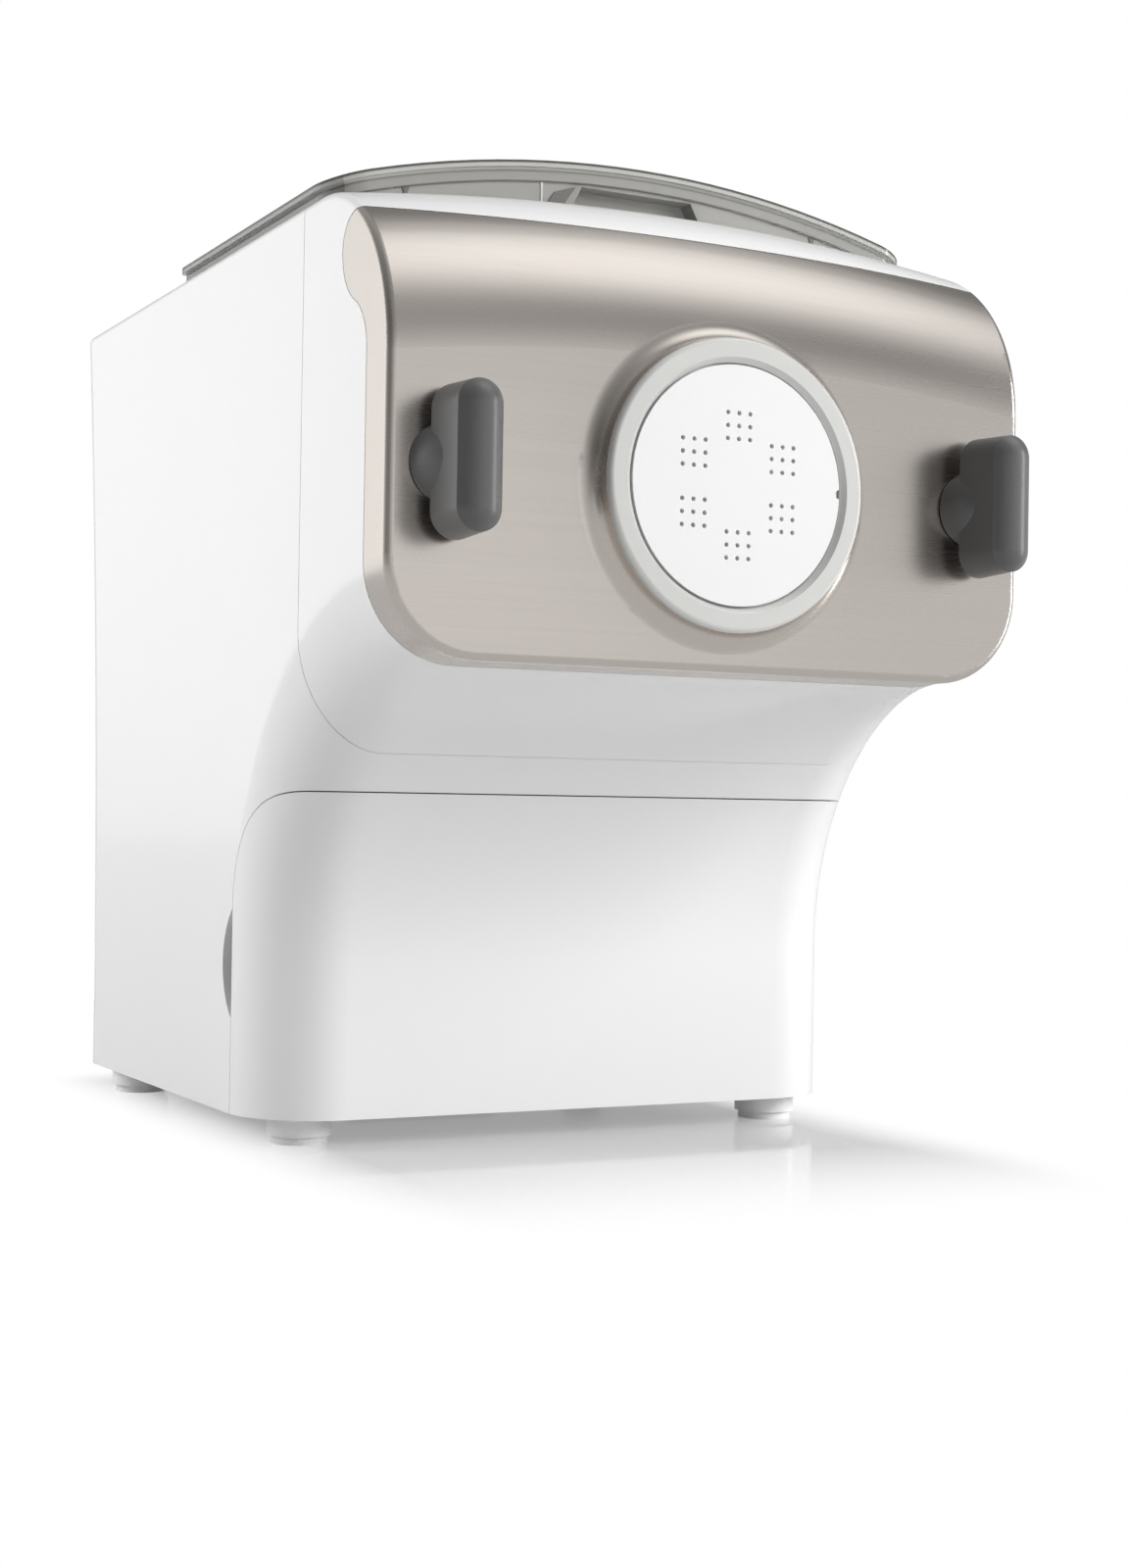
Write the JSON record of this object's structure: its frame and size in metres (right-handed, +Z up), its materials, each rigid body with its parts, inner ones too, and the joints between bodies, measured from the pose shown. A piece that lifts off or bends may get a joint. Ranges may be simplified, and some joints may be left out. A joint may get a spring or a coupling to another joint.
{
  "type": "electric pasta maker",
  "caption": "Upright kitchen appliance that kneads dough in a covered chamber and presses it through a front disc held by two thumb knobs.",
  "frame": {"origin": "on the resting plane, under the middle of the whole machine's bounding box", "axes": "+Z up, the brushed front panel faces -Y, +X to the right as seen from the front"},
  "size_m": [0.22, 0.3396, 0.315],
  "materials": {
    "white_casing": "gloss",
    "brushed_panel": "satin, brushed along the width",
    "panel_frame": "matt",
    "collar_metal": "satin",
    "disc_plastic": "satin",
    "disc_plastic_grey": "satin",
    "tube_plastic": "satin",
    "chamber_plastic": "satin",
    "bay_plastic": "matt",
    "frame_plastic": "matt",
    "seal_rubber": "matt",
    "shaft_steel": "ground",
    "paddle_plastic": "satin",
    "gear_plastic": "matt",
    "gear_steel": "machined",
    "bearing_bronze": "machined",
    "case_alloy": "cast",
    "screw_steel": "plated",
    "motor_steel": "plated",
    "stator_iron": "laminated",
    "rotor_copper": "varnished windings",
    "fan_plastic": "matt",
    "smoky_plastic": "gloss, see-through",
    "funnel_plastic": "gloss, see-through",
    "window_plastic": "gloss",
    "board_green": "solder mask",
    "strip_plastic": "satin",
    "button_plastic": "gloss",
    "power_button_plastic": "gloss",
    "start_button_plastic": "gloss",
    "knob_plastic": "satin",
    "foot_plastic": "satin",
    "gland_rubber": "matt",
    "switch_plastic": "matt",
    "tray_plastic": "satin",
    "rail_plastic": "matt",
    "nut_brass": "machined"
  },
  "bodies": {
    "housing": {"main_housing": "white_casing", "front_housing": "white_casing", "rear_cover": "white_casing", "base_plate": "white_casing", "rear_cover_screws": "screw_steel", "base_screws": "screw_steel", "gearbox_screws": "screw_steel", "extrusion_tube": "tube_plastic", "mixing_chamber": "chamber_plastic", "chamber_seal": "seal_rubber", "chamber_bay": "bay_plastic", "chassis": "frame_plastic", "gear_axles": "shaft_steel", "output_bearings": "bearing_bronze", "gearbox_case": "case_alloy", "gearbox_cover": "case_alloy", "motor_can": "motor_steel", "motor_stator": "stator_iron", "motor_cradle": "frame_plastic", "lid_switch": "switch_plastic", "control_panel": "strip_plastic", "display_window": "window_plastic", "control_board": "board_green", "power_board": "board_green", "cord_gland": "gland_rubber", "drawer_rails": "rail_plastic", "lock_nuts": "nut_brass", "foot_front_left": "foot_plastic", "foot_front_right": "foot_plastic", "foot_rear_left": "foot_plastic", "foot_rear_right": "foot_plastic"},
    "front_panel": {"front_panel": "brushed_panel", "panel_carrier": "panel_frame", "panel_collar": "collar_metal", "shaping_disc": "disc_plastic"},
    "knob_left": {"knob_left": "knob_plastic", "knob_screw_left": "shaft_steel"},
    "knob_right": {"knob_right": "knob_plastic", "knob_screw_right": "shaft_steel"},
    "mixer": {"drive_shaft": "shaft_steel", "mixing_paddle": "paddle_plastic", "auger": "paddle_plastic", "output_gear": "gear_steel"},
    "first_gear": {"first_gear": "gear_plastic"},
    "second_gear": {"second_gear": "gear_steel"},
    "motor_rotor": {"motor_rotor": "rotor_copper", "motor_pinion": "gear_steel", "cooling_fan": "fan_plastic"},
    "lid": {"lid": "smoky_plastic", "lid_funnel": "funnel_plastic"},
    "lid_plunger": {"lid_switch_plunger": "button_plastic"},
    "power_button": {"power_button": "power_button_plastic"},
    "program_button": {"program_button": "button_plastic"},
    "start_button": {"start_button": "start_button_plastic"},
    "drawer": {"drawer_front": "white_casing", "drawer_tray": "tray_plastic", "fettuccine_disc": "disc_plastic_grey", "penne_disc": "disc_plastic_grey", "lasagne_disc": "disc_plastic_grey"}
  },
  "joints": [
    {"name": "panel_release", "type": "slide", "parent": "housing", "child": "front_panel", "axis": [0, -1, 0], "range_m": [0, 0.06]},
    {"name": "knob_left_turn", "type": "hinge", "parent": "front_panel", "child": "knob_left", "pos_m": [-0.091, -0.17, 0.2063], "axis": [0, -1, 0], "range_deg": [0, 1080]},
    {"name": "knob_right_turn", "type": "hinge", "parent": "front_panel", "child": "knob_right", "pos_m": [0.091, -0.17, 0.2063], "axis": [0, -1, 0], "range_deg": [0, 1080]},
    {"name": "mixer_turn", "type": "hinge", "parent": "housing", "child": "mixer", "pos_m": [0, -0.052, 0.2063], "axis": [0, 1, 0], "continuous": true},
    {"name": "second_gear_turn", "type": "hinge", "parent": "housing", "child": "second_gear", "pos_m": [-0.00932, 0.068, 0.16074], "axis": [0, 1, 0], "continuous": true},
    {"name": "first_gear_turn", "type": "hinge", "parent": "housing", "child": "first_gear", "pos_m": [0.02314, 0.068, 0.13958], "axis": [0, 1, 0], "continuous": true},
    {"name": "motor_rotor_turn", "type": "hinge", "parent": "housing", "child": "motor_rotor", "pos_m": [0, 0.068, 0.112], "axis": [0, 1, 0], "continuous": true},
    {"name": "lid_lift", "type": "slide", "parent": "housing", "child": "lid", "axis": [0, 0, 1], "range_m": [0, 0.06]},
    {"name": "plunger_rise", "type": "slide", "parent": "housing", "child": "lid_plunger", "axis": [0, 0, 1], "range_m": [0, 0.002]},
    {"name": "power_button_press", "type": "slide", "parent": "housing", "child": "power_button", "axis": [0, 0, -1], "range_m": [0, 0.0012], "stiffness_N_per_m": 450, "springref_m": -0.0006},
    {"name": "program_button_press", "type": "slide", "parent": "housing", "child": "program_button", "axis": [0, 0, -1], "range_m": [0, 0.0012], "stiffness_N_per_m": 450, "springref_m": -0.0006},
    {"name": "start_button_press", "type": "slide", "parent": "housing", "child": "start_button", "axis": [0, 0, -1], "range_m": [0, 0.0012], "stiffness_N_per_m": 450, "springref_m": -0.0006},
    {"name": "drawer_pull", "type": "slide", "parent": "housing", "child": "drawer", "axis": [0, -1, 0], "range_m": [0, 0.07]}
  ],
  "couplings": [
    {"joint": "second_gear_turn", "follows": "mixer_turn", "ratio": -3.4286},
    {"joint": "first_gear_turn", "follows": "mixer_turn", "ratio": 11.755},
    {"joint": "motor_rotor_turn", "follows": "mixer_turn", "ratio": -58.776},
    {"joint": "plunger_rise", "follows": "lid_lift", "ratio": 0.033333}
  ]
}
